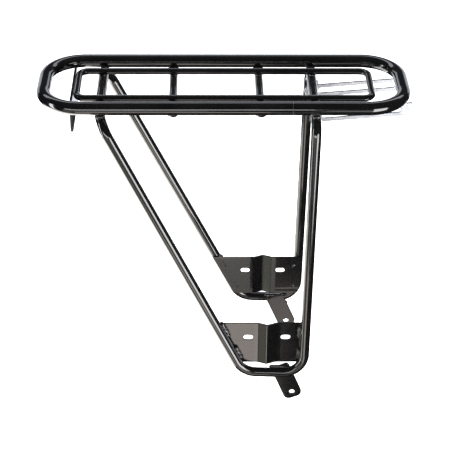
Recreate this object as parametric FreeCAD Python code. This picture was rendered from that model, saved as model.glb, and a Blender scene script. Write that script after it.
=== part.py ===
import FreeCAD, Part
import math
import os

os.makedirs("parts", exist_ok=True)

# Bicycle rear carrier, in millimetres.
# Origin midway between the two axle holes, +X to the bicycle's front, +Y to its left, +Z up.

# Outer rim: one bent tube with its ends butted in the right-hand straight
rim_diameter = 16.0
rim_wall = 1.2
rim_length = 437.4
rim_width = 140.4
rim_bend_radius = 45.3
rim_front_reach = 130.0
rim_height = 397.5
rim_seam_x = -9.8
rim_seam_gap = 0.15

# Inner rail: one bent rod lying on the four crossbars
rail_diameter = 8.0
rail_length = 352.9
rail_width = 78.2
rail_bend_radius = 11.0
rail_front_setback = 41.4

# Side tubes: each is half of both end bars, two legs and the bottom run between them
leg_diameter = 12.0
leg_wall = 1.2
front_bar_setback = 112.3
end_bar_spacing = 250.4
leg_outset = 9.7
leg_lean_deg = 1.98
leg_top_radius = 27.0
loop_rear_x = -63.6
loop_rear_z = 36.7
loop_rear_radius = 28.2
loop_front_x = 13.3
loop_front_z = 33.7
loop_front_radius = 27.3

# Straight middle bars
mid_bar_diameter = 10.0
mid_bar_wall = 1.0
mid_front_offset = 63.6
mid_rear_offset = 165.7
mid_bar_end_inset = 5.6

# Side plates with an outward ridge and two slots
plate_thickness = 2.0
plate_top_z = 105.0
plate_bottom_z = 46.5
plate_lap = 3.0
ridge_x = -33.5
ridge_width = 23.3
ridge_depth = 5.0
ridge_foot_radius = 3.0
ridge_peak_radius = 3.6
plate_slot_length = 12.0
plate_slot_width = 7.0
plate_slot_spacing = 46.4
plate_slot_z = 83.7

# Axle tabs
tab_thickness = 3.0
tab_width = 23.5
tab_slant_deg = 22.5
tab_above_hole = 44.0
tab_below_hole = 8.6
tab_top_radius = 4.0
tab_end_radius = 7.5
axle_hole_diameter = 7.0

# Lamp bracket
bracket_thickness = 3.0
bracket_width = 96.0
bracket_height = 41.0
bracket_corner_radius = 6.0
bracket_overlap = 0.7
lamp_hole_spacing = 80.0
lamp_hole_rise = 8.0
lamp_hole_diameter = 5.5

# Slotted stays, their lugs and their fasteners
stay_y = 32.2
stay_thickness = 2.5
stay_height = 16.0
stay_reach = 116.6
stay_corner_radius = 3.0
stay_slot_width = 7.0
stay_slot_start = 8.9
stay_slot_end = 101.4
stay_gap_to_bar = 0.3
stay_gap_to_rim = 0.4
stay_side_gap = 0.1
lug_thickness = 3.0
lug_width = 16.0
lug_drop = 7.0
lug_chamfer_x = 3.5
lug_chamfer_z = 4.5
bolt_diameter = 6.0
bolt_head_flats = 10.0
bolt_head_height = 4.0
bolt_end_past_nut = 1.3
nut_flats = 10.0
nut_height = 5.0
washer_diameter = 12.0
washer_hole_diameter = bolt_diameter + 0.4
washer_thickness = 1.2
fastener_hole_diameter = bolt_diameter + 0.2
pivot_clearance = 0.05

# Welds
weld_gap = 0.2
rim_weld_radius = 2.8
rim_weld_length = 10.0
rim_weld_offset = 6.0
mid_bar_weld_radius = 4.5
mid_bar_weld_length = 15.0
mid_bar_weld_inset = 5.7
mid_bar_weld_rise = 0.5
rail_weld_radius = 4.2
plate_weld_radius = 3.6
plate_weld_inset = 6.3
plate_weld_depth = 4.6
rear_leg_weld_heights = [(100.0, 86.0), (64.0, 53.0)]
front_leg_weld_heights = [(56.0, 64.0), (86.0, 97.0)]
tab_weld_radius = 2.6
tab_weld_inset = 5.4
tab_weld_depth = 4.6
lug_weld_size = 2.0
bracket_weld_radius = 2.2
bracket_weld_y = 11.0
bracket_weld_length = 9.0

X_AXIS = FreeCAD.Vector(1, 0, 0)
Y_AXIS = FreeCAD.Vector(0, 1, 0)
Z_AXIS = FreeCAD.Vector(0, 0, 1)
ORIGIN = FreeCAD.Vector(0, 0, 0)


def vec(x, y, z):
    return FreeCAD.Vector(x, y, z)


def unit(vector):
    return vector * (1.0 / vector.Length)


# ---- paths, sections and sweeps ----

def path_segments(points, radii):
    """Straight runs and bends of a path, with one bend radius for each inner corner."""
    segments = []
    start = points[0]
    for corner, following, radius in zip(points[1:-1], points[2:], radii):
        if radius == 0:
            segments.append((start, corner, None))
            start = corner
            continue
        back = unit(start - corner)
        ahead = unit(following - corner)
        half_angle = back.getAngle(ahead) / 2
        setback = radius / math.tan(half_angle)
        centre = corner + unit(back + ahead) * (radius / math.sin(half_angle))
        segments.append((start, corner + back * setback, None))
        segments.append((corner + back * setback, corner + ahead * setback, centre))
        start = corner + ahead * setback
    segments.append((start, points[-1], None))
    return segments


def sweep(points, radii, section):
    """Solid made by carrying section(position, direction) along straight runs and bends."""
    pieces = []
    direction = unit(points[1] - points[0])
    for start, end, centre in path_segments(points, radii):
        if centre is None:
            direction = unit(end - start)
            pieces.append(section(start, direction).extrude(end - start))
        else:
            axis = unit((start - centre).cross(end - centre))
            angle = math.degrees((start - centre).getAngle(end - centre))
            pieces.append(section(start, direction).revolve(centre, axis, angle))
    return pieces[0].fuse(pieces[1:]).removeSplitter()


def disc(diameter):
    return lambda position, direction: Part.Face(Part.Wire(Part.makeCircle(diameter / 2, position, direction)))


def ring(diameter, wall):
    outer = disc(diameter)
    inner = disc(diameter - 2 * wall)
    return lambda position, direction: outer(position, direction).cut(inner(position, direction))


def strip(thickness, height):
    """Section of a standing sheet whose path lies in a plane square to Y."""
    def section(position, direction):
        across = direction.cross(Y_AXIS) * (thickness / 2)
        up = Y_AXIS * height
        corners = [position - across, position + across, position + across + up, position - across + up]
        return Part.Face(Part.makePolygon(corners + corners[:1]))
    return section


def outline(points, radii):
    """Flat face with rounded corners."""
    middle = (points[0] + points[-1]) * 0.5
    edges = []
    for start, end, centre in path_segments([middle] + points + [middle], radii):
        if centre is None:
            edges.append(Part.makeLine(start, end))
        else:
            radius = (start - centre).Length
            on_arc = centre + unit((start - centre) + (end - centre)) * radius
            edges.append(Part.Arc(start, on_arc, end).toShape())
    return Part.Face(Part.Wire(edges))


def stadium(centre, length, width, along, normal):
    """Flat slot with round ends."""
    half = unit(along) * (length / 2)
    side = unit(normal.cross(along)) * (width / 2)
    corners = [centre - half - side, centre + half - side, centre + half + side, centre - half + side]
    return outline(corners, [width / 2 - 0.001] * 4)


def cylinder_y(x, z, diameter, y_from, y_to):
    return Part.makeCylinder(diameter / 2, y_to - y_from, vec(x, y_from, z), Y_AXIS)


def hexagon_y(x, z, flats, y_from, y_to):
    corner = flats / math.sqrt(3)
    angles = [math.radians(60 * step + 30) for step in range(7)]
    points = [vec(x + corner * math.cos(a), y_from, z + corner * math.sin(a)) for a in angles]
    return Part.Face(Part.makePolygon(points)).extrude(vec(0, y_to - y_from, 0))


def bead(start, end, radius, neighbours):
    """Round-ended weld run, fitted to the metal it joins."""
    run = end - start
    body = Part.makeCylinder(radius, run.Length, start, unit(run))
    body = body.fuse([Part.makeSphere(radius, start), Part.makeSphere(radius, end)])
    body = body.cut(neighbours)
    return max(body.Solids, key=lambda solid: solid.Volume)


def mirrored(shape):
    return shape.mirror(ORIGIN, Y_AXIS)


def both_sides(shapes):
    return Part.makeCompound(shapes + [mirrored(shape) for shape in shapes])


def save(name, shape):
    shape.exportStep("parts/" + name + ".step")


# ---- derived positions ----

lean = math.radians(leg_lean_deg)
rim_front_x = rim_front_reach - rim_diameter / 2
rim_rear_x = rim_front_x - (rim_length - rim_diameter)
rim_half = (rim_width - rim_diameter) / 2
front_bar_x = rim_front_reach - front_bar_setback
rear_bar_x = front_bar_x - end_bar_spacing
leg_top_y = rim_half + leg_outset
bend_centre_y = leg_top_y - leg_top_radius * math.tan((math.pi / 2 - lean) / 2)


def rest_on_bend(slope_x):
    """Height from an end bar's centre to the rim's, and the bend angle where they come closest.

    slope_x is how far the leg runs along X for each unit it falls.
    """
    fall = 1 / math.hypot(1, slope_x)
    reach = (rim_diameter + leg_diameter) / 2 + weld_gap
    choices = []
    for step in range(400):
        angle = math.radians(0.2 * step)
        side = bend_centre_y + leg_top_radius * math.sin(angle) - rim_half
        if abs(side) < reach:
            drop = fall * leg_top_radius * (1 - math.cos(angle))
            choices.append((math.sqrt(reach ** 2 - side ** 2) - drop, angle))
    return max(choices)


leg_fall = rim_height - rim_diameter / 2 - loop_rear_z
rear_slope = (loop_rear_x - rear_bar_x) / leg_fall
front_slope = (loop_front_x - front_bar_x) / leg_fall
bar_z = rim_height - max(rest_on_bend(rear_slope)[0], rest_on_bend(front_slope)[0])
rail_z = bar_z + leg_diameter / 2 + weld_gap + rail_diameter / 2
mid_bar_z = bar_z + leg_diameter / 2 - mid_bar_diameter / 2
mid_bar_xs = {"rear": front_bar_x - mid_rear_offset, "front": front_bar_x - mid_front_offset}
rail_front_x = rim_front_reach - rail_front_setback - rail_diameter / 2
rail_rear_x = rail_front_x - (rail_length - rail_diameter)
rail_half = (rail_width - rail_diameter) / 2


# ---- the leaning plane of the left side tube: local X forward, Y up the plane, Z inward ----

leg_plane = FreeCAD.Placement(vec(0, leg_top_y + math.tan(lean) * bar_z, 0),
                              FreeCAD.Rotation(X_AXIS, 90 + leg_lean_deg))


def in_plane(x, z, depth=0.0):
    return vec(x, z / math.cos(lean), depth)


def placed(shape):
    result = shape.copy()
    result.Placement = leg_plane.multiply(result.Placement)
    return result


def beside(start, end, height, inset, depth):
    """Point beside a leg at a height, inset into the loop and set in from the plane."""
    run = unit(end - start)
    side = Z_AXIS.cross(run)
    return start + run * ((height / math.cos(lean) - start.y) / run.y) + side * inset + Z_AXIS * depth


loop = [in_plane(rear_bar_x, bar_z), in_plane(loop_rear_x, loop_rear_z),
        in_plane(loop_front_x, loop_front_z), in_plane(front_bar_x, bar_z)]
plate_middle_depth = leg_diameter / 2 + plate_thickness / 2


# ---- rim and inner rail ----

def rim_solid(section):
    seam_front = vec(rim_seam_x + rim_seam_gap / 2, -rim_half, rim_height)
    seam_rear = vec(rim_seam_x - rim_seam_gap / 2, -rim_half, rim_height)
    corners = [vec(rim_front_x, -rim_half, rim_height), vec(rim_front_x, rim_half, rim_height),
               vec(rim_rear_x, rim_half, rim_height), vec(rim_rear_x, -rim_half, rim_height)]
    return sweep([seam_front] + corners + [seam_rear], [rim_bend_radius] * 4, section)


def rail_solid():
    start = vec((rail_front_x + rail_rear_x) / 2, -rail_half, rail_z)
    corners = [vec(rail_front_x, -rail_half, rail_z), vec(rail_front_x, rail_half, rail_z),
               vec(rail_rear_x, rail_half, rail_z), vec(rail_rear_x, -rail_half, rail_z)]
    return sweep([start] + corners + [start], [rail_bend_radius] * 4, disc(rail_diameter))


rim_filled = rim_solid(disc(rim_diameter))
rail = rail_solid()


# ---- side tubes and middle bars ----

def side_tube(section):
    corners = [leg_plane.multVec(point) for point in loop]
    points = [vec(rear_bar_x, 0, bar_z)] + corners + [vec(front_bar_x, 0, bar_z)]
    return sweep(points, [leg_top_radius, loop_rear_radius, loop_front_radius, leg_top_radius], section)


def mid_bar(x, section):
    end_y = rim_half - mid_bar_end_inset
    return sweep([vec(x, -end_y, mid_bar_z), vec(x, end_y, mid_bar_z)], [], section).cut(rim_filled)


side_filled = side_tube(disc(leg_diameter))
side_hollow = side_tube(ring(leg_diameter, leg_wall))
mid_bars_filled = {name: mid_bar(x, disc(mid_bar_diameter)) for name, x in mid_bar_xs.items()}


# ---- side plate, axle tab ----

def side_plate():
    left_x = rear_bar_x
    right_x = front_bar_x + leg_diameter
    foot_z = plate_bottom_z
    sheet_path = [in_plane(left_x, foot_z, plate_middle_depth),
                  in_plane(ridge_x - ridge_width / 2, foot_z, plate_middle_depth),
                  in_plane(ridge_x, foot_z, plate_middle_depth - ridge_depth),
                  in_plane(ridge_x + ridge_width / 2, foot_z, plate_middle_depth),
                  in_plane(right_x, foot_z, plate_middle_depth)]
    height = (plate_top_z - plate_bottom_z) / math.cos(lean)
    bends = [ridge_foot_radius, ridge_peak_radius, ridge_foot_radius]
    sheet = sweep(sheet_path, bends, strip(plate_thickness, height))
    inside_loop = outline(loop, [0, loop_rear_radius, loop_front_radius, 0]).makeOffset2D(plate_lap)
    plate = placed(sheet.common(inside_loop.extrude(Z_AXIS * (3 * leg_diameter))))
    for side in (-1, 1):
        centre = vec(ridge_x + side * plate_slot_spacing / 2, 0, plate_slot_z)
        slot = stadium(centre, plate_slot_length, plate_slot_width, X_AXIS, Y_AXIS)
        plate = plate.cut(slot.extrude(Y_AXIS * (2 * leg_top_y)))
    return plate


def axle_tab():
    slant = math.radians(tab_slant_deg)
    across = vec(math.cos(slant), math.sin(slant), 0)
    upward = vec(-math.sin(slant), math.cos(slant), 0)
    half = across * (tab_width / 2)
    top = upward * tab_above_hole
    bottom = upward * -tab_below_hole
    corners = [bottom - half, bottom + half, top + half, top - half]
    face = outline(corners, [tab_end_radius, tab_end_radius, tab_top_radius, tab_top_radius])
    face.translate(Z_AXIS * (leg_diameter / 2))
    tab = placed(face.extrude(Z_AXIS * tab_thickness))
    return tab.cut(cylinder_y(0, 0, axle_hole_diameter, 0, 2 * leg_top_y))


plate_left = side_plate()
tab_left = axle_tab()


# ---- lamp bracket ----

bracket_x = rail_rear_x - rail_diameter / 2 - bracket_thickness
bracket_top = rail_z + bracket_overlap
bracket_bottom = bracket_top - bracket_height


def lamp_bracket():
    half = bracket_width / 2
    corners = [vec(bracket_x, -half, bracket_bottom), vec(bracket_x, half, bracket_bottom),
               vec(bracket_x, half, bracket_top), vec(bracket_x, -half, bracket_top)]
    plate = outline(corners, [bracket_corner_radius] * 4).extrude(X_AXIS * bracket_thickness)
    for y in (-lamp_hole_spacing / 2, lamp_hole_spacing / 2):
        base = vec(bracket_x - 1, y, bracket_bottom + lamp_hole_rise)
        plate = plate.cut(Part.makeCylinder(lamp_hole_diameter / 2, bracket_thickness + 2, base, X_AXIS))
    return plate


bracket = lamp_bracket()


# ---- stays, lugs and fasteners ----

pivot_x = front_bar_x
pivot_z = bar_z - leg_diameter / 2 - stay_gap_to_bar - stay_height / 2
stay_inner_y = stay_y - stay_thickness / 2
stay_outer_y = stay_y + stay_thickness / 2
lug_inner_y = stay_outer_y + stay_side_gap
lug_outer_y = lug_inner_y + lug_thickness
rim_clear = rim_diameter / 2 + stay_gap_to_rim + stay_height / 2
to_rim = vec(rim_front_x - pivot_x, 0, rim_height - pivot_z)
stay_slope = math.atan2(to_rim.z, to_rim.x) - math.asin(rim_clear / to_rim.Length)


def stay():
    half = stay_height / 2
    rear = pivot_x - half
    front = pivot_x + stay_reach
    corners = [vec(rear, stay_inner_y, pivot_z - half), vec(front, stay_inner_y, pivot_z - half),
               vec(front, stay_inner_y, pivot_z + half), vec(rear, stay_inner_y, pivot_z + half)]
    round_rear = half - 0.001
    face = outline(corners, [round_rear, stay_corner_radius, stay_corner_radius, round_rear])
    bar = face.extrude(Y_AXIS * stay_thickness)
    slot_length = stay_slot_end - stay_slot_start
    slot_x = pivot_x + (stay_slot_start + stay_slot_end) / 2
    slot = stadium(vec(slot_x, 0, pivot_z), slot_length, stay_slot_width, X_AXIS, Y_AXIS)
    bar = bar.cut(slot.extrude(Y_AXIS * (2 * stay_y)))
    bar = bar.cut(cylinder_y(pivot_x, pivot_z, bolt_diameter + 2 * pivot_clearance, 0, 2 * stay_y))
    bar.rotate(vec(pivot_x, 0, pivot_z), Y_AXIS, -math.degrees(stay_slope))
    return bar


def lug():
    left = pivot_x - lug_width / 2
    right = pivot_x + lug_width / 2
    bottom = pivot_z - lug_drop
    corners = [vec(left, lug_inner_y, bar_z), vec(left, lug_inner_y, bottom + lug_chamfer_z),
               vec(left + lug_chamfer_x, lug_inner_y, bottom), vec(right, lug_inner_y, bottom),
               vec(right, lug_inner_y, bar_z)]
    plate = outline(corners, [0] * 5).extrude(Y_AXIS * lug_thickness)
    plate = plate.cut(cylinder_y(front_bar_x, bar_z, leg_diameter, 0, 2 * lug_outer_y))
    return plate.cut(cylinder_y(pivot_x, pivot_z, fastener_hole_diameter, 0, 2 * lug_outer_y))


head_inner_y = lug_outer_y + washer_thickness
nut_outer_y = stay_inner_y - stay_side_gap - washer_thickness
nut_inner_y = nut_outer_y - nut_height


def bolt():
    head = hexagon_y(pivot_x, pivot_z, bolt_head_flats, head_inner_y, head_inner_y + bolt_head_height)
    shank = cylinder_y(pivot_x, pivot_z, bolt_diameter, nut_inner_y - bolt_end_past_nut, head_inner_y)
    return head.fuse(shank)


def nut():
    body = hexagon_y(pivot_x, pivot_z, nut_flats, nut_inner_y, nut_outer_y)
    return body.cut(cylinder_y(pivot_x, pivot_z, bolt_diameter, nut_inner_y - 1, nut_outer_y + 1))


def washer(y_from):
    body = cylinder_y(pivot_x, pivot_z, washer_diameter, y_from, y_from + washer_thickness)
    return body.cut(cylinder_y(pivot_x, pivot_z, washer_hole_diameter, y_from - 1, y_from + 3))


stay_left = stay()
lug_left = lug()


# ---- welds of the left side; the right side mirrors them ----

def rim_weld_pair(bar_x, slope_x):
    fall = 1 / math.hypot(1, slope_x)
    angle = rest_on_bend(slope_x)[1]
    drop = leg_top_radius * (1 - math.cos(angle))
    on_bend = vec(bar_x + drop * slope_x * fall, bend_centre_y + leg_top_radius * math.sin(angle),
                  bar_z - drop * fall)
    towards_rim = unit(vec(on_bend.x, rim_half, rim_height) - on_bend)
    contact = on_bend + towards_rim * ((leg_diameter + weld_gap) / 2)
    aside = X_AXIS.cross(towards_rim) * rim_weld_offset
    half_run = X_AXIS * (rim_weld_length / 2 - rim_weld_radius)
    return [bead(contact + shift - half_run, contact + shift + half_run, rim_weld_radius,
                 [rim_filled, side_filled]) for shift in (aside, aside * -1)]


def mid_bar_weld(name):
    middle = vec(mid_bar_xs[name], rim_half - mid_bar_weld_inset, mid_bar_z + mid_bar_weld_rise)
    half_run = X_AXIS * (mid_bar_weld_length / 2 - mid_bar_weld_radius)
    return bead(middle - half_run, middle + half_run, mid_bar_weld_radius, [rim_filled, mid_bars_filled[name]])


def rail_weld(x, bar_diameter, bar):
    bar_top = bar_z + leg_diameter / 2 + weld_gap / 2
    weld = Part.makeSphere(rail_weld_radius, vec(x, rail_half, bar_top)).cut(rail).cut(bar)
    return max(weld.Solids, key=lambda solid: solid.Volume)


def plate_welds():
    spans = [(loop[0], loop[1], span) for span in rear_leg_weld_heights]
    spans += [(loop[2], loop[3], span) for span in front_leg_weld_heights]
    welds = []
    for start, end, heights in spans:
        ends = [beside(start, end, height, plate_weld_inset, plate_weld_depth) for height in heights]
        ends = [leg_plane.multVec(point) for point in ends]
        welds.append(bead(ends[0], ends[1], plate_weld_radius, [side_filled, plate_left]))
    return welds


def tab_welds():
    run = unit(loop[2] - loop[1])
    side = Z_AXIS.cross(run)
    slant = math.radians(tab_slant_deg)
    crossing = -loop_front_z * math.tan(slant)
    half_run = tab_width / (2 * math.cos(slant)) - tab_weld_radius
    welds = []
    for inset in (tab_weld_inset, -tab_weld_inset):
        middle_x = crossing - inset * math.tan(slant)
        middle = loop[1] + run * (middle_x - loop[1].x) + side * inset + Z_AXIS * tab_weld_depth
        ends = [leg_plane.multVec(middle - run * half_run), leg_plane.multVec(middle + run * half_run)]
        welds.append(bead(ends[0], ends[1], tab_weld_radius, [side_filled, tab_left]))
    return welds


def lug_weld():
    collar = cylinder_y(front_bar_x, bar_z, leg_diameter + 2 * lug_weld_size,
                        lug_outer_y, lug_outer_y + lug_weld_size)
    collar = collar.cut(cylinder_y(front_bar_x, bar_z, leg_diameter, lug_outer_y - 1, lug_outer_y + 4))
    lower = Part.makeBox(lug_width, 3 * lug_weld_size, leg_diameter,
                         vec(front_bar_x - lug_width / 2, lug_outer_y - 1, bar_z - 1 - leg_diameter))
    return collar.common(lower)


def bracket_weld():
    middle = vec(rail_rear_x - rail_diameter / 2 + bracket_weld_radius * 0.4, bracket_weld_y,
                 rail_z - rail_diameter / 2 + 0.2)
    half_run = Y_AXIS * (bracket_weld_length / 2 - bracket_weld_radius)
    return bead(middle - half_run, middle + half_run, bracket_weld_radius, [rail, bracket])


rim_welds = rim_weld_pair(rear_bar_x, rear_slope) + rim_weld_pair(front_bar_x, front_slope)
rim_welds += [mid_bar_weld(name) for name in mid_bar_xs]
rail_welds = [rail_weld(x, leg_diameter, side_filled) for x in (rear_bar_x, front_bar_x)]
rail_welds += [rail_weld(x, mid_bar_diameter, mid_bars_filled[name]) for name, x in mid_bar_xs.items()]


# ---- files ----

save("rim_tube", rim_solid(ring(rim_diameter, rim_wall)))
save("inner_rail", rail)
for name, x in mid_bar_xs.items():
    save("crossbar_mid_" + name, mid_bar(x, ring(mid_bar_diameter, mid_bar_wall)))
for side, turn in (("left", lambda shape: shape), ("right", mirrored)):
    save("side_tube_" + side, turn(side_hollow))
    save("side_plate_" + side, turn(plate_left))
    save("axle_tab_" + side, turn(tab_left))
    save("stay_lug_" + side, turn(lug_left))
    save("stay_" + side, turn(stay_left))
save("lamp_bracket", bracket)
save("stay_bolts", both_sides([bolt()]))
save("stay_nuts", both_sides([nut()]))
save("stay_washers", both_sides([washer(lug_outer_y), washer(nut_outer_y)]))
save("rim_welds", both_sides(rim_welds))
save("rail_welds", both_sides(rail_welds))
save("plate_welds", both_sides(plate_welds()))
save("tab_welds", both_sides(tab_welds()))
save("lug_welds", both_sides([lug_weld()]))
save("bracket_welds", both_sides([bracket_weld()]))
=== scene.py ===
import math
import bpy
import bmesh
import numpy as np
from mathutils import Matrix, Vector


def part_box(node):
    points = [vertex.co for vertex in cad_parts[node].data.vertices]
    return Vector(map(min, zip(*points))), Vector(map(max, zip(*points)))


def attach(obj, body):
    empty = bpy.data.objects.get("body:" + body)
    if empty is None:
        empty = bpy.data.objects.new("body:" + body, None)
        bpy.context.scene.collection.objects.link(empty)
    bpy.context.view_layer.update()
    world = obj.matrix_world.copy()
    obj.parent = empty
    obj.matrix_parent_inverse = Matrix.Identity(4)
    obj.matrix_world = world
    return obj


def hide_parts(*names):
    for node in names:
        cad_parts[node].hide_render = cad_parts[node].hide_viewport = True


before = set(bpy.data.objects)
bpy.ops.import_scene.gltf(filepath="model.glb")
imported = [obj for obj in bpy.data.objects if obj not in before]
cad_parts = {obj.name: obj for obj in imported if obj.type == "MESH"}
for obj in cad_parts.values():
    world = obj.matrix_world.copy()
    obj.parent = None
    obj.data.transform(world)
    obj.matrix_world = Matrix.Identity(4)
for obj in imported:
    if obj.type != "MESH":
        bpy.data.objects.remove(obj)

mm = 0.001
# degrees between faces below which shading runs on across the edge
tubeSmoothAngle, sheetSmoothAngle, weldSmoothAngle = 40, 18, 80
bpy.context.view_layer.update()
collection = bpy.context.scene.collection


# ---- colours and nodes

def linearColour(hexColour, alpha=1.0):
    # sRGB hex to the linear values that shaders take
    channels = np.array([int(hexColour[i:i + 2], 16) / 255 for i in (1, 3, 5)])
    linear = np.where(channels <= 0.04045, channels / 12.92, ((channels + 0.055) / 1.055) ** 2.4)
    return (*linear.tolist(), alpha)


def addNode(tree, kind, settings=None, links=None):
    node = tree.nodes.new(kind)
    for key, value in (settings or {}).items():
        if isinstance(key, str) and hasattr(node, key):
            setattr(node, key, value)
        else:
            node.inputs[key].default_value = value
    for key, socket in (links or {}).items():
        tree.links.new(socket, node.inputs[key])
    return node


def newMaterial(name):
    material = bpy.data.materials.new(name)
    material.use_nodes = True
    material.node_tree.nodes.clear()
    return material, material.node_tree


def noiseOf(tree, vector, scale, detail):
    return addNode(tree, "ShaderNodeTexNoise", {"Scale": scale, "Detail": detail}, {"Vector": vector})


def rampStops(ramp, stops):
    ramp.color_ramp.elements[0].position = stops[0][0]
    ramp.color_ramp.elements[0].color = linearColour(stops[0][1])
    ramp.color_ramp.elements[1].position = stops[1][0]
    ramp.color_ramp.elements[1].color = linearColour(stops[1][1])


enamelLook = {
    "colourDeep": "#070707", "colourThin": "#0e0d0c",  # stove enamel, a touch browner where it is thin
    "poolSize": 38 * mm,  # how far apart the thicker pools of enamel are
    "peelSize": 1.6 * mm, "peelDepth": 0.0015 * mm,  # orange peel of the sprayed coat
    "grainSize": 0.35 * mm,
    "roughLow": 0.11, "roughHigh": 0.15,
    "ior": 1.52, "coat": 1.0, "coatRoughness": 0.035,
}


def glossBlackStoveEnamel(name, look, lumpSize=None, lumpDepth=0.0):
    # black stove enamel, sprayed and baked: wet gloss, faint orange peel, slightly uneven depth
    material, tree = newMaterial(name)
    coords = addNode(tree, "ShaderNodeTexCoord").outputs["Object"]
    pools = noiseOf(tree, coords, 1 / look["poolSize"], 3.0)
    peel = noiseOf(tree, coords, 1 / look["peelSize"], 2.0)
    grain = noiseOf(tree, coords, 1 / look["grainSize"], 1.0)
    colour = addNode(tree, "ShaderNodeValToRGB", links={"Fac": pools.outputs["Fac"]})
    rampStops(colour, [(0.35, look["colourDeep"]), (0.7, look["colourThin"])])
    rough = addNode(tree, "ShaderNodeMapRange", {"To Min": look["roughLow"], "To Max": look["roughHigh"]},
                    {"Value": grain.outputs["Fac"]})
    bump = addNode(tree, "ShaderNodeBump", {"Strength": 0.6, "Distance": look["peelDepth"]},
                   {"Height": peel.outputs["Fac"]})
    if lumpSize:
        lumps = addNode(tree, "ShaderNodeTexNoise", {"Scale": 1 / lumpSize, "Detail": 3.0, "Roughness": 0.6},
                        {"Vector": coords})
        bump = addNode(tree, "ShaderNodeBump", {"Strength": 1.0, "Distance": lumpDepth},
                       {"Height": lumps.outputs["Fac"], "Normal": bump.outputs["Normal"]})
    shader = addNode(tree, "ShaderNodeBsdfPrincipled",
                     {"IOR": look["ior"], "Coat Weight": look["coat"], "Coat Roughness": look["coatRoughness"]},
                     {"Base Color": colour.outputs["Color"], "Roughness": rough.outputs["Result"],
                      "Normal": bump.outputs["Normal"], "Coat Normal": bump.outputs["Normal"]})
    addNode(tree, "ShaderNodeOutputMaterial", links={"Surface": shader.outputs["BSDF"]})
    return material


zincLook = {
    "colourBright": "#e9e9ec", "colourDull": "#c9cad2",  # bright zinc, faintly blue
    "cloudSize": 14 * mm,
    "rollPitch": 0.9 * mm, "rollLength": 40 * mm, "rollDepth": 0.006 * mm,  # rolling lines of the strip
    "roughLow": 0.16, "roughHigh": 0.30,
}


def brightZincPlate(name, look):
    # bright zinc plate on rolled steel strip: mirror-like, clouded, with fine lines along the strip
    material, tree = newMaterial(name)
    coords = addNode(tree, "ShaderNodeTexCoord").outputs["Object"]
    stretch = addNode(tree, "ShaderNodeMapping",
                      {"Scale": (1 / look["rollLength"], 1 / look["rollPitch"], 1 / look["rollPitch"])},
                      {"Vector": coords})
    lines = noiseOf(tree, stretch.outputs["Vector"], 1.0, 3.0)
    clouds = noiseOf(tree, coords, 1 / look["cloudSize"], 4.0)
    colour = addNode(tree, "ShaderNodeValToRGB", links={"Fac": clouds.outputs["Fac"]})
    rampStops(colour, [(0.3, look["colourDull"]), (0.65, look["colourBright"])])
    rough = addNode(tree, "ShaderNodeMapRange", {"To Min": look["roughLow"], "To Max": look["roughHigh"]},
                    {"Value": lines.outputs["Fac"]})
    bump = addNode(tree, "ShaderNodeBump", {"Strength": 0.5, "Distance": look["rollDepth"]},
                   {"Height": lines.outputs["Fac"]})
    shader = addNode(tree, "ShaderNodeBsdfPrincipled", {"Metallic": 1.0},
                     {"Base Color": colour.outputs["Color"], "Roughness": rough.outputs["Result"],
                      "Normal": bump.outputs["Normal"]})
    addNode(tree, "ShaderNodeOutputMaterial", links={"Surface": shader.outputs["BSDF"]})
    return material


enamel = glossBlackStoveEnamel("glossBlackStoveEnamel", enamelLook)
weldEnamel = glossBlackStoveEnamel("stoveEnamelOverWeld", enamelLook, lumpSize=2.4 * mm, lumpDepth=0.5 * mm)
zincStrip = brightZincPlate("brightZincPlatedStrip", zincLook)
boltLook = dict(zincLook, colourBright="#c3c4c8", colourDull="#8f9096", roughLow=0.28, roughHigh=0.45,
                rollLength=2 * mm)
zincBolt = brightZincPlate("zincPlatedFastener", boltLook)
print("materials made")


# ---- shapes

def unit(vector):
    vector = np.asarray(vector, float)
    return vector / np.linalg.norm(vector)


def bentPath(corners, radii, step=3.0):
    # straight runs joined by circular bends: centre = corner + bisector * r / sin(half angle)
    corners = [np.asarray(corner, float) for corner in corners]
    points = [corners[0][None]]
    for before, corner, after, radius in zip(corners, corners[1:], corners[2:], radii):
        back, ahead = unit(before - corner), unit(after - corner)
        half = math.acos(np.clip(back @ ahead, -1, 1)) / 2
        if radius <= 0:
            points.append(corner[None])
            continue
        centre = corner + unit(back + ahead) * radius / math.sin(half)
        start, end = corner + back * radius / math.tan(half), corner + ahead * radius / math.tan(half)
        turn = math.pi - 2 * half
        t = np.linspace(0, 1, max(3, int(math.degrees(turn) / step)))[:, None]
        first, last = start - centre, end - centre
        arc = (np.sin((1 - t) * turn) * first + np.sin(t * turn) * last) / math.sin(turn)
        points.append(centre + arc)
    points.append(corners[-1][None])
    path = np.vstack(points)
    keep = np.r_[True, np.linalg.norm(np.diff(path, axis=0), axis=1) > 1e-6]
    return path[keep]


def refine(path, longest):
    # splits long straight runs so no step is longer than `longest`
    pieces = [np.linspace(a, b, max(2, int(np.linalg.norm(b - a) / longest) + 1))[:-1]
              for a, b in zip(path[:-1], path[1:])]
    return np.vstack(pieces + [path[-1:]])


def gridFaces(rows, cols, closeRows=False, closeCols=True):
    # quads of a grid of points, wrapped round where asked
    i = np.arange(rows if closeRows else rows - 1)[:, None]
    j = np.arange(cols if closeCols else cols - 1)[None]
    a, b = i * cols + j, i * cols + (j + 1) % cols
    c, d = ((i + 1) % rows) * cols + (j + 1) % cols, ((i + 1) % rows) * cols + j
    return np.stack([a, d, c, b], axis=-1).reshape(-1, 4)


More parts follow.
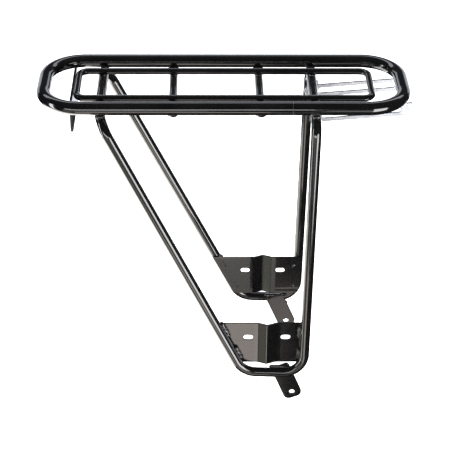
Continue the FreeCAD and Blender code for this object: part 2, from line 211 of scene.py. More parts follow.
def sweptTube(path, radius, closed=False, sides=40, reference=(-0.6, 0.6, -0.5)):
    # point(s, angle) = path(s) + radius(s, angle) * (cos angle * across + sin angle * up)
    if closed:
        ahead = np.roll(path, -1, axis=0) - np.roll(path, 1, axis=0)
    else:
        ahead = np.gradient(path, axis=0)
    tangent = ahead / np.linalg.norm(ahead, axis=1)[:, None]
    across = np.cross(tangent, np.asarray(reference, float))
    across /= np.linalg.norm(across, axis=1)[:, None]
    up = np.cross(tangent, across)
    angle = np.linspace(0, 2 * math.pi, sides, endpoint=False)
    radius = np.broadcast_to(radius, (len(path), sides))[..., None]
    wave = np.cos(angle)[None, :, None] * across[:, None] + np.sin(angle)[None, :, None] * up[:, None]
    points = (path[:, None] + radius * wave).reshape(-1, 3)
    faces = gridFaces(len(path), sides, closeRows=closed).tolist()
    if not closed:
        faces.append(list(range(sides)))
        faces.append(list(range((len(path) - 1) * sides, len(path) * sides))[::-1])
    return points, faces


def joinShapes(shapes):
    points, faces, offset = [], [], 0
    for shapePoints, shapeFaces in shapes:
        points.append(shapePoints)
        faces += [[index + offset for index in face] for face in shapeFaces]
        offset += len(shapePoints)
    return np.vstack(points), faces


def mirroredShape(shape):
    points, faces = shape
    return points * np.array([1.0, -1.0, 1.0]), [list(face)[::-1] for face in faces]


def makePiece(name, shape, material, body, nodes, smoothAngle=tubeSmoothAngle):
    # points in millimetres in, a riding piece in metres out
    points, faces = shape
    mesh = bpy.data.meshes.new(name)
    mesh.from_pydata((points * mm).tolist(), [], faces)
    work = bmesh.new()
    work.from_mesh(mesh)
    bmesh.ops.remove_doubles(work, verts=work.verts, dist=1e-7)
    bmesh.ops.recalc_face_normals(work, faces=work.faces)
    work.to_mesh(mesh)
    work.free()
    mesh.shade_smooth()
    mesh.set_sharp_from_angle(angle=math.radians(smoothAngle))
    mesh.materials.append(material)
    piece = bpy.data.objects.new(name, mesh)
    collection.objects.link(piece)
    if smoothAngle == sheetSmoothAngle:
        # the wide faces set the shading, so a sheet reflects as one flat sheet
        weighted = piece.modifiers.new("flatSheetNormals", "WEIGHTED_NORMAL")
        weighted.keep_sharp, weighted.weight = True, 100
    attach(piece, body)
    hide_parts(*nodes)
    return piece


def nodeBox(node):
    low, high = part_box(node)
    return np.array(low) / mm, np.array(high) / mm


# ---- rim and inner rail

rimSettings = {"bend": 45.3, "seamX": -9.8, "seamGap": 0.15, "seamLip": 0.2}
railSettings = {"bend": 11.0}


def ovalCorners(low, high, inset, z):
    return [(high[0] - inset, low[1] + inset, z), (high[0] - inset, high[1] - inset, z),
            (low[0] + inset, high[1] - inset, z), (low[0] + inset, low[1] + inset, z)]


def buildRim(settings):
    low, high = nodeBox("rim_tube")
    radius, z = (high[2] - low[2]) / 2, (high[2] + low[2]) / 2
    corners = ovalCorners(low, high, radius, z)
    front = (settings["seamX"] + settings["seamGap"] / 2, low[1] + radius, z)
    rear = (settings["seamX"] - settings["seamGap"] / 2, low[1] + radius, z)
    path = refine(bentPath([front] + corners + [rear], [settings["bend"]] * 4), 12)
    lip = settings["seamLip"]
    toSeam = np.array([lip, 0, 0])
    path = np.vstack([path[:1], path[:1] + toSeam, path[1:-1], path[-1:] - toSeam, path[-1:]])
    radii = np.full(len(path), radius)
    radii[[0, -1]] = radius - lip
    return sweptTube(path, radii[:, None], sides=56, reference=(0.0, 0.0, 1.0)), radius


def buildRail(settings):
    low, high = nodeBox("inner_rail")
    radius, z = (high[2] - low[2]) / 2, (high[2] + low[2]) / 2
    corners = ovalCorners(low, high, radius, z)
    start = ((low[0] + high[0]) / 2, low[1] + radius, z)
    path = refine(bentPath([start] + corners + [start], [settings["bend"]] * 4), 12)[:-1]
    return sweptTube(path, radius, closed=True, sides=32, reference=(0.0, 0.0, 1.0))


rimShape, rimRadius = buildRim(rimSettings)
makePiece("rimTube", rimShape, enamel, "rack", ["rim_tube"])
makePiece("innerRail", buildRail(railSettings), enamel, "rack", ["inner_rail"])
print("rim and rail made")


# ---- side tubes and straight bars

sideSettings = {
    "radius": 6.0, "topY": 71.9, "leanDeg": 1.98, "topBend": 27.0,
    "rearX": -232.7, "frontX": 17.7,
    "lowRear": (-63.6, 36.7), "lowRearBend": 28.2,
    "lowFront": (13.3, 33.7), "lowFrontBend": 27.3, "gapUnderRail": 0.2,
}
lean = math.radians(sideSettings["leanDeg"])
barZ = nodeBox("inner_rail")[0][2] - sideSettings["gapUnderRail"] - sideSettings["radius"]


def leaningPoint(x, z, inward=0.0, side=1):
    # a point on the left (+1) or right (-1) leaning plane, set in towards the wheel
    y = sideSettings["topY"] + math.tan(lean) * (barZ - z) - inward / math.cos(lean)
    return np.array([x, side * y, z])


def buildSideTube(settings, side):
    flat = [(settings["rearX"], barZ), settings["lowRear"], settings["lowFront"], (settings["frontX"], barZ)]
    corners = [leaningPoint(*point, side=side) for point in flat]
    ends = [(settings["rearX"], 0, barZ)] + corners + [(settings["frontX"], 0, barZ)]
    bends = [settings["topBend"], settings["lowRearBend"], settings["lowFrontBend"], settings["topBend"]]
    path = refine(bentPath(ends, bends), 12)
    return sweptTube(path, settings["radius"], sides=48, reference=(-0.6, side * 0.6, -0.5))


for side, word in ((1, "Left"), (-1, "Right")):
    makePiece("sideTube" + word, buildSideTube(sideSettings, side), enamel, "rack",
              ["side_tube_" + word.lower()])

midBarSettings = {"nodes": ["crossbar_mid_rear", "crossbar_mid_front"], "endEase": 0.5}


def buildMidBars(settings):
    bars = []
    for node in settings["nodes"]:
        low, high = nodeBox(node)
        x, z, radius = (low[0] + high[0]) / 2, (low[2] + high[2]) / 2, (high[0] - low[0]) / 2
        ease = settings["endEase"]
        path = refine(np.array([(x, low[1] + ease, z), (x, high[1] - ease, z)]), 10)
        bars.append(sweptTube(path, radius, sides=40))
    return joinShapes(bars)


makePiece("middleBars", buildMidBars(midBarSettings), enamel, "rack", midBarSettings["nodes"])
print("tubes made")


# ---- flat parts: a rounded outline with holes, rounded edges and a thickness

def roundedOutline(corners, radii, step=9.0):
    # closed outline in two dimensions, each corner turned on its own radius
    flat = [np.array([x, y, 0.0]) for x, y in corners]
    start = (flat[0] + flat[-1]) / 2
    return bentPath([start] + flat + [start], radii, step)[:-1, :2]


def slotOutline(centre, length, width, count=14):
    # stadium: two half circles joined by straights
    t = np.linspace(-90, 90, count) * math.pi / 180
    right = np.c_[np.cos(t), np.sin(t)] * width / 2 + [(length - width) / 2, 0]
    return np.vstack([right, -right]) + np.asarray(centre)


def roundHole(centre, diameter, count=14):
    # two half circles a hair apart, so the outline has no doubled point
    return slotOutline(centre, diameter, diameter - 0.001, count)


def flatPart(outline, holes, thickness, edge=0.3):
    # sheet cut to an outline, centred on zero depth, with every edge rounded by `edge`
    curve = bpy.data.curves.new("outline", "CURVE")
    curve.dimensions = "2D"
    curve.fill_mode = "BOTH"
    curve.extrude = thickness / 2 - edge
    curve.bevel_depth = edge
    curve.bevel_resolution = 2
    curve.offset = -edge
    for loop in [outline] + list(holes):
        spline = curve.splines.new("POLY")
        spline.points.add(len(loop) - 1)
        flat = np.c_[loop, np.zeros(len(loop)), np.ones(len(loop))]
        spline.points.foreach_set("co", flat.ravel())
        spline.use_cyclic_u = True
    holder = bpy.data.objects.new("outline", curve)
    mesh = bpy.data.meshes.new_from_object(holder)
    points = np.empty(len(mesh.vertices) * 3)
    mesh.vertices.foreach_get("co", points)
    faces = [list(polygon.vertices) for polygon in mesh.polygons]
    bpy.data.objects.remove(holder)
    bpy.data.meshes.remove(mesh)
    return points.reshape(-1, 3), faces


def placedShape(shape, origin, along, up, through):
    points, faces = shape
    basis = np.array([along, up, through], float)
    return np.asarray(origin) + points @ basis, faces


def crossCuts(shape, cuts):
    # adds edges across a flat shape at each x, so it can be folded there
    points, faces = shape
    work = bmesh.new()
    vertices = [work.verts.new(point) for point in points]
    for face in faces:
        work.faces.new([vertices[index] for index in face])
    bmesh.ops.remove_doubles(work, verts=work.verts, dist=1e-4)
    for x in cuts:
        geometry = work.verts[:] + work.edges[:] + work.faces[:]
        bmesh.ops.bisect_plane(work, geom=geometry, plane_co=(x, 0, 0), plane_no=(1, 0, 0))
    work.verts.index_update()
    points = np.array([vertex.co[:] for vertex in work.verts])
    faces = [[vertex.index for vertex in face.verts] for face in work.faces]
    work.free()
    return points, faces


plateSettings = {
    "thickness": 2.0, "top": 105.0, "bottom": 46.5, "lap": 3.0, "inset": 7.0,
    "ridgeX": -33.5, "ridgeWidth": 23.3, "ridgeDepth": 5.0, "footRadius": 3.0, "peakRadius": 3.6,
    "slotZ": 83.7, "slotSpacing": 46.4, "slotLength": 12.0, "slotWidth": 7.0,
}


def plateOutline(settings):
    # follows the two legs and their lower bends, cut level at top and bottom
    lap = settings["lap"]
    corners = [(sideSettings["rearX"], barZ), sideSettings["lowRear"], sideSettings["lowFront"],
               (sideSettings["frontX"], barZ)]
    radii = [sideSettings["lowRearBend"], sideSettings["lowFrontBend"]]
    loop = bentPath([np.array([x, z, 0.0]) for x, z in corners], radii, 4)[:, :2]
    loop = refine(loop, 2.0)
    ahead = np.gradient(loop, axis=0)
    outward = np.c_[ahead[:, 1], -ahead[:, 0]] / np.linalg.norm(ahead, axis=1)[:, None]
    loop = loop + outward * lap
    inside = loop[(loop[:, 1] > settings["bottom"]) & (loop[:, 1] < settings["top"])]
    left, right = inside[inside[:, 0] < settings["ridgeX"]], inside[inside[:, 0] > settings["ridgeX"]]

    def sideAt(half, z):
        order = np.argsort(half[:, 1])
        return (np.interp(z, half[order, 1], half[order, 0]), z)
    return np.vstack([[sideAt(left, settings["top"])], left, [sideAt(left, settings["bottom"])],
                      [sideAt(right, settings["bottom"])], right, [sideAt(right, settings["top"])]])


def ridgeDepth(x, settings):
    # vee with rounded feet and peak: a smooth minimum of two slopes and the flat
    slope = settings["ridgeDepth"] / (settings["ridgeWidth"] / 2)
    away = np.sqrt((x - settings["ridgeX"]) ** 2 + (slope * settings["peakRadius"] / 2) ** 2)
    rise = settings["ridgeDepth"] - slope * away
    soft = settings["footRadius"] * slope / 2
    return 0.5 * (rise + np.sqrt(rise ** 2 + soft ** 2))


def buildPlate(settings, side):
    slots = [slotOutline((settings["ridgeX"] + sign * settings["slotSpacing"] / 2, settings["slotZ"]),
                         settings["slotLength"], settings["slotWidth"]) for sign in (-1, 1)]
    shape = flatPart(plateOutline(settings), slots, settings["thickness"])
    reach = settings["ridgeWidth"] * 0.75
    points, faces = crossCuts(shape, np.linspace(settings["ridgeX"] - reach, settings["ridgeX"] + reach, 43))
    nearRidge = np.abs(points[:, 0] - settings["ridgeX"]) < reach
    depth = settings["inset"] - ridgeDepth(points[:, 0], settings) * nearRidge
    flatDepth = depth - points[:, 2]
    y = sideSettings["topY"] + math.tan(lean) * (barZ - points[:, 1]) - flatDepth / math.cos(lean)
    return np.c_[points[:, 0], side * y, points[:, 1]], faces


tabSettings = {
    "thickness": 3.0, "width": 23.5, "slantDeg": 22.5, "above": 44.0, "below": 8.6,
    "topRadius": 4.0, "endRadius": 7.5, "hole": 7.0, "inset": 7.5,
}


def buildTab(settings, side):
    half, above, below = settings["width"] / 2, settings["above"], settings["below"]
    outline = roundedOutline([(-half, -below), (half, -below), (half, above), (-half, above)],
                             [settings["endRadius"]] * 2 + [settings["topRadius"]] * 2)
    shape = flatPart(outline, [roundHole((0, 0), settings["hole"], 20)],
                     settings["thickness"], edge=0.4)
    slant = math.radians(settings["slantDeg"])
    along = (math.cos(slant), -side * math.sin(slant) * math.sin(lean), math.sin(slant))
    up = (-math.sin(slant), -side * math.cos(slant) * math.sin(lean), math.cos(slant) * math.cos(lean))
    return placedShape(shape, leaningPoint(0, 0, settings["inset"], side), along, up, (0, side, 0))


for side, word in ((1, "Left"), (-1, "Right")):
    makePiece("sidePlate" + word, buildPlate(plateSettings, side), enamel, "rack",
              ["side_plate_" + word.lower()], smoothAngle=sheetSmoothAngle)
    makePiece("axleTab" + word, buildTab(tabSettings, side), enamel, "rack",
              ["axle_tab_" + word.lower()], smoothAngle=sheetSmoothAngle)

bracketSettings = {"cornerRadius": 6.0, "holeSpacing": 80.0, "holeRise": 8.0, "hole": 5.5}


def buildBracket(settings):
    low, high = nodeBox("lamp_bracket")
    outline = roundedOutline([(low[1], low[2]), (high[1], low[2]), (high[1], high[2]), (low[1], high[2])],
                             [settings["cornerRadius"]] * 4)
    holes = [roundHole((sign * settings["holeSpacing"] / 2, low[2] + settings["holeRise"]),
                       settings["hole"], 16) for sign in (-1, 1)]
    shape = flatPart(outline, holes, high[0] - low[0])
    return placedShape(shape, ((low[0] + high[0]) / 2, 0, 0), (0, 1, 0), (0, 0, 1), (1, 0, 0))


makePiece("lampBracket", buildBracket(bracketSettings), enamel, "rack", ["lamp_bracket"],
          smoothAngle=sheetSmoothAngle)
print("sheet parts made")


# ---- stays, lugs and fasteners

staySettings = {
    "pivot": (17.7, 372.17), "slope": 4.8604, "y": 32.2, "thickness": 2.5, "height": 16.0, "reach": 116.6,
    "corner": 3.0, "slotStart": 8.9, "slotEnd": 101.4, "slotWidth": 7.0, "pivotHole": 6.1,
}


def buildStay(settings, side):
    half, reach = settings["height"] / 2, settings["reach"]
    outline = roundedOutline([(-half, -half), (reach, -half), (reach, half), (-half, half)],
                             [half - 0.01, settings["corner"], settings["corner"], half - 0.01])
    length = settings["slotEnd"] - settings["slotStart"]
    slotCentre = ((settings["slotStart"] + settings["slotEnd"]) / 2, 0)
    holes = [slotOutline(slotCentre, length, settings["slotWidth"]),
             roundHole((0, 0), settings["pivotHole"])]
    shape = flatPart(outline, holes, settings["thickness"], edge=0.35)
    slope = math.radians(settings["slope"])
    origin = (settings["pivot"][0], side * settings["y"], settings["pivot"][1])
    return placedShape(shape, origin, (math.cos(slope), 0, math.sin(slope)),
                       (-math.sin(slope), 0, math.cos(slope)), (0, 1, 0))


for side, word in ((1, "Left"), (-1, "Right")):
    makePiece("stay" + word, buildStay(staySettings, side), zincStrip, "stay_" + word.lower(),
              ["stay_" + word.lower()], smoothAngle=sheetSmoothAngle)

lugSettings = {"width": 16.0, "drop": 7.0, "chamfer": (3.5, 4.5), "hole": 6.2}


def buildLug(settings):
    low, high = nodeBox("stay_lug_left")
    x, pivotZ = staySettings["pivot"]
    left, right, bottom = x - settings["width"] / 2, x + settings["width"] / 2, pivotZ - settings["drop"]
    chamferX, chamferZ = settings["chamfer"]
    outline = roundedOutline([(left, bottom + chamferZ), (left + chamferX, bottom), (right, bottom),
                              (right, barZ - 2), (left, barZ - 2)], [0.6, 0.6, 0.8, 0.6, 0.6])
    hole = roundHole((x, pivotZ), settings["hole"])
    shape = flatPart(outline, [hole], high[1] - low[1])
    return placedShape(shape, (0, (low[1] + high[1]) / 2, 0), (1, 0, 0), (0, 0, 1), (0, 1, 0))


def bothSides(shapes):
    return joinShapes(list(shapes) + [mirroredShape(shape) for shape in shapes])


makePiece("stayLugs", bothSides([buildLug(lugSettings)]), enamel, "rack", ["stay_lug_left", "stay_lug_right"],
          smoothAngle=sheetSmoothAngle)

boltSettings = {
    "headFlats": 10.0, "headHeight": 4.0, "nutFlats": 10.0, "nutHeight": 5.0, "chamfer": 0.7 * 0.6,
    "shank": 3.0, "threadEase": 0.02, "threadPitch": 1.0, "threadDepth": 0.3, "belowHead": 0.2,
    "tipPastNut": 1.3, "tipLength": 0.6, "tipDepth": 0.8,
    "washer": 6.0, "washerHole": 3.2, "washerThickness": 1.2, "washerLip": 0.2,
}


def hexagonPrism(flats, yFrom, yTo, chamfer, bore=0.0):
    # hexagon carried along Y, its corners turned off at both ends
    x, z = staySettings["pivot"]
    angle = np.linspace(0, 2 * math.pi, 60, endpoint=False)
    sector = (angle + math.pi / 6) % (math.pi / 3) - math.pi / 6
    apothem = flats / 2
    reach = apothem / np.cos(sector)
    shoulder = np.full(len(angle), apothem)
    rows = [(yFrom, shoulder), (yFrom + chamfer, reach), (yTo - chamfer, reach), (yTo, shoulder)]
    if bore:
        ring = np.full(len(angle), bore)
        rows = [(yFrom, ring)] + rows + [(yTo, ring)]
    points = np.vstack([np.c_[x + r * np.cos(angle), np.full(len(angle), y), z + r * np.sin(angle)]
                        for y, r in rows])
    faces = gridFaces(len(rows), len(angle), closeRows=bool(bore)).tolist()
    if not bore:
        sides = len(angle)
        faces += [list(range(sides)), list(range(len(points) - sides, len(points)))[::-1]]
    return points, faces


def turnedPart(profile, sides=40, closeProfile=False):
    # profile of (y, radius) rows turned about the pivot axis
    x, z = staySettings["pivot"]
    profile = np.asarray(profile, float)
    angle = np.linspace(0, 2 * math.pi, sides, endpoint=False)
    y, r = profile[:, :1], profile[:, 1:]
    points = np.stack([x + r * np.cos(angle), y + 0 * angle, z + r * np.sin(angle)], axis=-1).reshape(-1, 3)
    faces = gridFaces(len(profile), sides, closeRows=closeProfile).tolist()
    if not closeProfile:
        faces += [list(range(sides)), list(range(len(points) - sides, len(points)))[::-1]]
    return points, faces


def buildBolts(settings):
    headTop, nutTop = nodeBox("stay_bolts")[1][1], nodeBox("stay_nuts")[1][1]
    headBottom, nutBottom = headTop - settings["headHeight"], nutTop - settings["nutHeight"]
    tipY = nutBottom - settings["tipPastNut"]
    ridges = np.arange(tipY + settings["tipLength"], nutBottom, settings["threadPitch"] / 2)
    shank, depth = settings["shank"] - settings["threadEase"], settings["threadDepth"]
    thread = [(y, shank - depth * (index % 2)) for index, y in enumerate(ridges)]
    tip, neck = (tipY, shank - settings["tipDepth"]), (headBottom + settings["belowHead"], shank)
    head = hexagonPrism(settings["headFlats"], headBottom, headTop, settings["chamfer"])
    return [head, turnedPart([tip] + thread + [neck])]


def buildNuts(settings):
    nutTop = nodeBox("stay_nuts")[1][1]
    return [hexagonPrism(settings["nutFlats"], nutTop - settings["nutHeight"], nutTop, settings["chamfer"],
                         bore=settings["shank"])]


def buildWashers(settings):
    thickness, lip = settings["washerThickness"], settings["washerLip"]
    inner, outer = settings["washerHole"], settings["washer"]
    shapes = []
    for low in (nodeBox("stay_washers")[1][1] - thickness, nodeBox("stay_nuts")[1][1]):
        high = low + thickness
        shapes.append(turnedPart([(low, inner), (low, outer - lip), (low + lip, outer), (high - lip, outer),
                                  (high, outer - lip), (high, inner)], closeProfile=True))
    return shapes


makePiece("stayBolts", bothSides(buildBolts(boltSettings)), zincBolt, "rack", ["stay_bolts"])
makePiece("stayNuts", bothSides(buildNuts(boltSettings)), zincBolt, "rack", ["stay_nuts"])
makePiece("stayWashers", bothSides(buildWashers(boltSettings)), zincBolt, "rack", ["stay_washers"])
print("stays and fasteners made")


# ---- welds

weldSettings = {
    "ripple": 2.3, "rippleHeight": 0.10, "wander": 0.5, "seed": 11,
    "plateRadius": 3.4, "plateInset": 6.3, "plateDepth": 4.7,
    "rearLegHeights": [(102.0, 86.0), (66.0, 52.0)], "frontLegHeights": [(54.0, 65.0), (86.0, 98.0)],
    "tabRadius": 2.5, "tabInset": 5.4, "tabDepth": 4.7,
    "rimRadius": 2.7, "rimOffset": 6.0, "rimLength": 10.0,
    "rimTowards": (0, 0.40, 0.92), "rimGap": 0.1, "rimShifts": (0.48 * 2.3, -0.01 * 2.3),
    "barRadii": (7.5, 5.0, 4.5), "barInset": 5.7, "barRise": 0.5,
    "railRadii": (4.1, 4.1, 2.2), "railGap": 0.1,
    "lugPathRadius": 6.6, "lugRadius": 1.25, "lugInset": 1.4, "lugSweep": (-165, -15), "lugRows": 24,
    "bracketRadius": 1.9, "bracketRun": (6.8, 2.2), "bracketShift": 0.2,
}
weldRandom = np.random.default_rng(weldSettings["seed"])


def weldRun(start, end, radius, settings=weldSettings, sides=24):
    # bead: radius(s, a) = r * (1 - u^4)^(1/2) * (1 + ripples along s + lumps), u running from -1 to 1
    start, end = np.asarray(start, float), np.asarray(end, float)
    length = np.linalg.norm(end - start) + 2 * radius
    along = unit(end - start)
    rows = max(16, int(length / 0.5))
    u = np.linspace(-1, 1, rows)
    path = (start + end) / 2 + np.outer(u * length / 2, along)
    phase = weldRandom.uniform(0, 2 * math.pi, 4)
    s = (u + 1) * length / 2
    sway = np.cross(along, [0.3, 0.5, 0.8])
    path = path + np.outer(settings["wander"] * np.sin(s * 0.7 + phase[0]), unit(sway)) * 0.6
    angle = np.linspace(0, 2 * math.pi, sides, endpoint=False)
    taper = np.sqrt(np.clip(1 - u ** 4, 0.0, 1))[:, None]
    ripples = settings["rippleHeight"] * np.abs(np.sin(math.pi * s / settings["ripple"] + phase[1]))[:, None]
    lumps = 0.12 * np.sin(s * 0.9 + phase[2])[:, None] * np.cos(2 * angle + phase[3])
    swell = 0.10 * np.sin(s * 0.45 + phase[0])[:, None]
    return sweptTube(path, radius * taper * (0.92 + ripples + lumps + swell), sides=sides,
                     reference=sway)


def weldBlob(centre, radii, rows=20, sides=36):
    # lumpy ellipsoid: radius varies with both angles by a few low waves
    latitude = np.linspace(-math.pi / 2, math.pi / 2, rows)[:, None]
    angle = np.linspace(0, 2 * math.pi, sides, endpoint=False)[None]
    phase = weldRandom.uniform(0, 2 * math.pi, 3)
    swell = (1 + 0.05 * np.sin(3 * angle + phase[0]) * np.cos(latitude)
             + 0.035 * np.sin(7 * angle + phase[1]) * np.cos(latitude) ** 2
             + 0.03 * np.sin(4 * latitude + phase[2]))
    unitPoints = np.stack([np.cos(latitude) * np.cos(angle), np.cos(latitude) * np.sin(angle),
                           np.sin(latitude) + 0 * angle], axis=-1)
    points = np.asarray(centre) + (swell[..., None] * unitPoints * np.asarray(radii)).reshape(-1, 3)
    return points, gridFaces(rows, sides).tolist()


def besideLeg(start, end, height, inset, depth, side):
    # beside a leg at a height: inset into the loop, set in from the leaning plane
    start, end = np.asarray(start, float), np.asarray(end, float)
    run = unit(end - start)
    inward = np.array([-run[1], run[0]])
    spot = start + run * (height - start[1]) / run[1] + inward * inset
    return leaningPoint(spot[0], spot[1], depth, side)


def buildPlateWelds(settings):
    rearLeg = ((sideSettings["rearX"], barZ), sideSettings["lowRear"])
    frontLeg = (sideSettings["lowFront"], (sideSettings["frontX"], barZ))
    runs = [(rearLeg, span) for span in settings["rearLegHeights"]]
    runs += [(frontLeg, span) for span in settings["frontLegHeights"]]
    shapes = []
    for side in (1, -1):
        for (start, end), (high, low) in runs:
            ends = [besideLeg(start, end, height, settings["plateInset"], settings["plateDepth"], side)
                    for height in (high, low)]
            shapes.append(weldRun(ends[0], ends[1], settings["plateRadius"]))
    return joinShapes(shapes)


def buildTabWelds(settings):
    lowRear, lowFront = np.array(sideSettings["lowRear"]), np.array(sideSettings["lowFront"])
    run = unit(lowFront - lowRear)
    inward = np.array([-run[1], run[0]])
    slant = math.tan(math.radians(tabSettings["slantDeg"]))
    half = tabSettings["width"] / 2
    shapes = []
    for side in (1, -1):
        for inset in (settings["tabInset"], -settings["tabInset"]):
            x = -(sideSettings["lowFront"][1] + inset) * slant
            middle = lowRear + run * (x - lowRear[0]) / run[0] + inward * inset
            ends = [leaningPoint(*(middle + run * reach), settings["tabDepth"], side)
                    for reach in (-half, half)]
            shapes.append(weldRun(ends[0], ends[1], settings["tabRadius"]))
    return joinShapes(shapes)


def buildRimWelds(settings):
    rimLow, rimHigh = nodeBox("rim_tube")
    rimY, rimZ = rimHigh[1] - rimRadius, (rimLow[2] + rimHigh[2]) / 2
    shapes = []
    towards = unit(settings["rimTowards"])
    aside = np.cross([1, 0, 0], towards) * settings["rimOffset"]
    half = np.array([settings["rimLength"] / 2 - settings["rimRadius"], 0, 0])
    for barX, forward in zip((sideSettings["rearX"], sideSettings["frontX"]), settings["rimShifts"]):
        contact = np.array([barX + forward, rimY, rimZ]) - towards * (rimRadius + settings["rimGap"])
        for shift in (aside, -aside):
            shapes.append(weldRun(contact + shift - half, contact + shift + half, settings["rimRadius"]))
    for node in midBarSettings["nodes"]:
        low, high = nodeBox(node)
        middle = np.array([(low[0] + high[0]) / 2, rimY - settings["barInset"],
                           (low[2] + high[2]) / 2 + settings["barRise"]])
        shapes.append(weldBlob(middle, settings["barRadii"]))
    return bothSides(shapes)


def buildRailWelds(settings):
    railLow, railHigh = nodeBox("inner_rail")
    railY = railHigh[1] - (railHigh[2] - railLow[2]) / 2
    xs = [sideSettings["rearX"], sideSettings["frontX"]]
    xs += [float(np.mean([corner[0] for corner in nodeBox(node)])) for node in midBarSettings["nodes"]]
    z = railLow[2] - settings["railGap"]
    return bothSides([weldBlob((x, railY, z), settings["railRadii"]) for x in xs])


def buildLugWelds(settings):
    x, y = sideSettings["frontX"], nodeBox("lug_welds")[1][1] - settings["lugInset"]
    rows, reach = settings["lugRows"], settings["lugPathRadius"]
    angle = np.radians(np.linspace(*settings["lugSweep"], rows))
    path = np.c_[x + reach * np.cos(angle), np.full(rows, y), barZ + reach * np.sin(angle)]
    taper = np.sqrt(np.clip(1 - np.linspace(-1, 1, rows) ** 6, 0.02, 1))[:, None]
    return bothSides([sweptTube(path, settings["lugRadius"] * taper, sides=16, reference=(0, 1, 0))])


def buildBracketWelds(settings):
    low, high = nodeBox("bracket_welds")
    x, z = (low[[0, 2]] + high[[0, 2]]) / 2 + settings["bracketShift"]
    ends = [(x, high[1] - back, z) for back in settings["bracketRun"]]
    return bothSides([weldRun(ends[0], ends[1], settings["bracketRadius"])])


welds = [("plateWelds", buildPlateWelds, "plate_welds"), ("tabWelds", buildTabWelds, "tab_welds"),
         ("rimWelds", buildRimWelds, "rim_welds"), ("railWelds", buildRailWelds, "rail_welds"),
         ("lugWelds", buildLugWelds, "lug_welds"), ("bracketWelds", buildBracketWelds, "bracket_welds")]
for name, build, node in welds:
    makePiece(name, build(weldSettings), weldEnamel, "rack", [node], smoothAngle=weldSmoothAngle)
print("welds made")


# ---- stage, light and camera

stageSettings = {"floorZ": -0.34, "floorSize": 12.0, "floorColour": "#f4f4f2", "floorGlow": 0.75}
roomSettings = {"colour": "#b4c0d6", "strength": 0.04, "backdrop": "#ffffff", "backdropStrength": 1.0}


def buildFloor(settings):
    half = settings["floorSize"] / 2
    mesh = bpy.data.meshes.new("paleFloor")
    z = settings["floorZ"]
    corners = [(-half, -half, z), (half, -half, z), (half, half, z), (-half, half, z)]
    mesh.from_pydata(corners, [], [(0, 1, 2, 3)])
    material, tree = newMaterial("matWhitePaper")
    shader = addNode(tree, "ShaderNodeBsdfPrincipled",
                     {"Base Color": linearColour(settings["floorColour"]), "Roughness": 0.9,
                      "Emission Color": linearColour("#ffffff"), "Emission Strength": settings["floorGlow"]})
    addNode(tree, "ShaderNodeOutputMaterial", links={"Surface": shader.outputs["BSDF"]})
    mesh.materials.append(material)
    floor = bpy.data.objects.new("paleFloor", mesh)
    collection.objects.link(floor)
    floor.visible_glossy = False


buildFloor(stageSettings)

lightSettings = [
    # name, place, aim, width, height, radiance, colour, seen in gloss
    ("topSoftbox", (-0.1, 0.2, 2.4), (-0.1, 0.0, 0.0), 3.0, 3.0, 6.5, "#ffffff", False),
    ("backPanel", (-0.1, 2.2, 0.15), (-0.1, 0.0, 0.15), 5.0, 1.9, 1.0, "#eef2fa", True),
    ("topBackStrip", (-0.1, 1.25, 1.9), (-0.1, 0.0, 0.3), 4.0, 0.5, 2.0, "#f4f7ff", True),
    ("frontRightPanel", (1.0, -1.2, 0.08), (1.0, 0.0, 0.08), 1.1, 1.05, 7.5, "#ffffff", True),
    ("frontMiddlePanel", (0.29, -1.2, -0.12), (0.29, 0.0, -0.12), 0.32, 0.64, 1.05, "#ffffff", True),
    ("floorLeftCard", (-0.75, 0.15, -0.4), (-0.75, 0.15, 1.0), 0.9, 0.9, 4.0, "#fbf9f4", True),
    ("frontStrip", (-0.55, -1.2, 0.42), (-0.55, 0.0, 0.42), 1.3, 0.16, 6.0, "#ffffff", True),
    ("frontLeftPanel", (-0.75, -1.2, 0.0), (-0.75, 0.0, 0.0), 1.3, 0.6, 0.8, "#f4f0ea", True),
    ("lowFrontPanel", (-0.31, -1.2, -0.635), (-0.31, 0.0, -0.635), 0.68, 0.37, 2.9, "#f6eae2", True),
    ("lowDimPanel", (-0.31, -1.2, -1.135), (-0.31, 0.0, -1.135), 0.68, 0.63, 0.9, "#f2eee6", True),
    ("lowFarPanel", (0.1, -1.2, -1.14), (0.1, 0.0, -1.14), 0.12, 0.36, 1.4, "#f6eae2", True),
    ("lowSidePanel", (-1.2, -1.2, -0.95), (-1.2, 0.0, -0.95), 0.8, 1.0, 0.75, "#ecebd8", True),
    ("farLeftStrip", (-2.2, -0.5, 0.0), (-0.1, 0.0, 0.1), 0.4, 1.8, 8.0, "#ffffff", True),
]
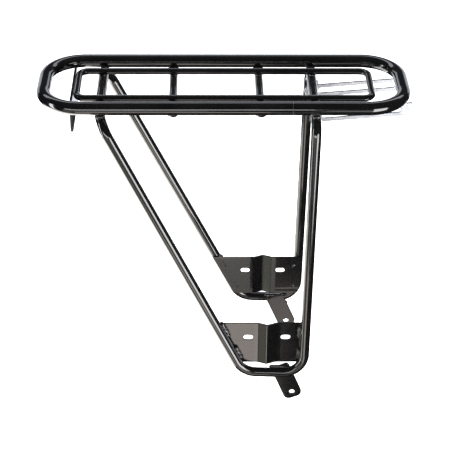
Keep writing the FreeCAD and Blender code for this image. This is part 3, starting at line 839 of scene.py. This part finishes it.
for name, place, aim, width, height, radiance, colour, glossy in lightSettings:
    light = bpy.data.lights.new(name, "AREA")
    light.shape = "RECTANGLE"
    light.size, light.size_y = width, height
    light.energy = radiance * math.pi * width * height
    light.color = linearColour(colour)[:3]
    lamp = bpy.data.objects.new(name, light)
    collection.objects.link(lamp)
    lamp.location = place
    lamp.rotation_euler = (Vector(aim) - Vector(place)).to_track_quat("-Z", "Y").to_euler()
    lamp.visible_camera = False
    lamp.visible_glossy = glossy

world = bpy.data.worlds.new("paleRoom")
world.use_nodes = True
world.node_tree.nodes.clear()
cameraRay = addNode(world.node_tree, "ShaderNodeLightPath").outputs["Is Camera Ray"]
roomLight = addNode(world.node_tree, "ShaderNodeBackground",
                    {"Color": linearColour(roomSettings["colour"]), "Strength": roomSettings["strength"]})
backdrop = addNode(world.node_tree, "ShaderNodeBackground",
                   {"Color": linearColour(roomSettings["backdrop"]),
                    "Strength": roomSettings["backdropStrength"]})
mixed = addNode(world.node_tree, "ShaderNodeMixShader", links={
    0: cameraRay, 1: roomLight.outputs["Background"], 2: backdrop.outputs["Background"]})
addNode(world.node_tree, "ShaderNodeOutputWorld", links={"Surface": mixed.outputs["Shader"]})
bpy.context.scene.world = world
bpy.context.scene.view_settings.view_transform = "Standard"

cameraSettings = {
    "place": (-0.1165, -1.6257, 1.2156), "forward": (0.0162, 0.8483, -0.5293), "up": (0.0011, 0.5293, 0.8484),
    "lens": 122.9, "sensor": 36.0, "clipEnd": 50,
}
cameraData = bpy.data.cameras.new("studioCamera")
cameraData.lens, cameraData.sensor_width = cameraSettings["lens"], cameraSettings["sensor"]
cameraData.clip_end = cameraSettings["clipEnd"]
camera = bpy.data.objects.new("studioCamera", cameraData)
collection.objects.link(camera)
forward, upward = Vector(cameraSettings["forward"]).normalized(), Vector(cameraSettings["up"])
rightward = forward.cross(upward).normalized()
upward = rightward.cross(forward)
camera.matrix_world = Matrix.Translation(cameraSettings["place"]) @ Matrix(
    (rightward, upward, -forward)).transposed().to_4x4()
bpy.context.scene.camera = camera
print("stage made")
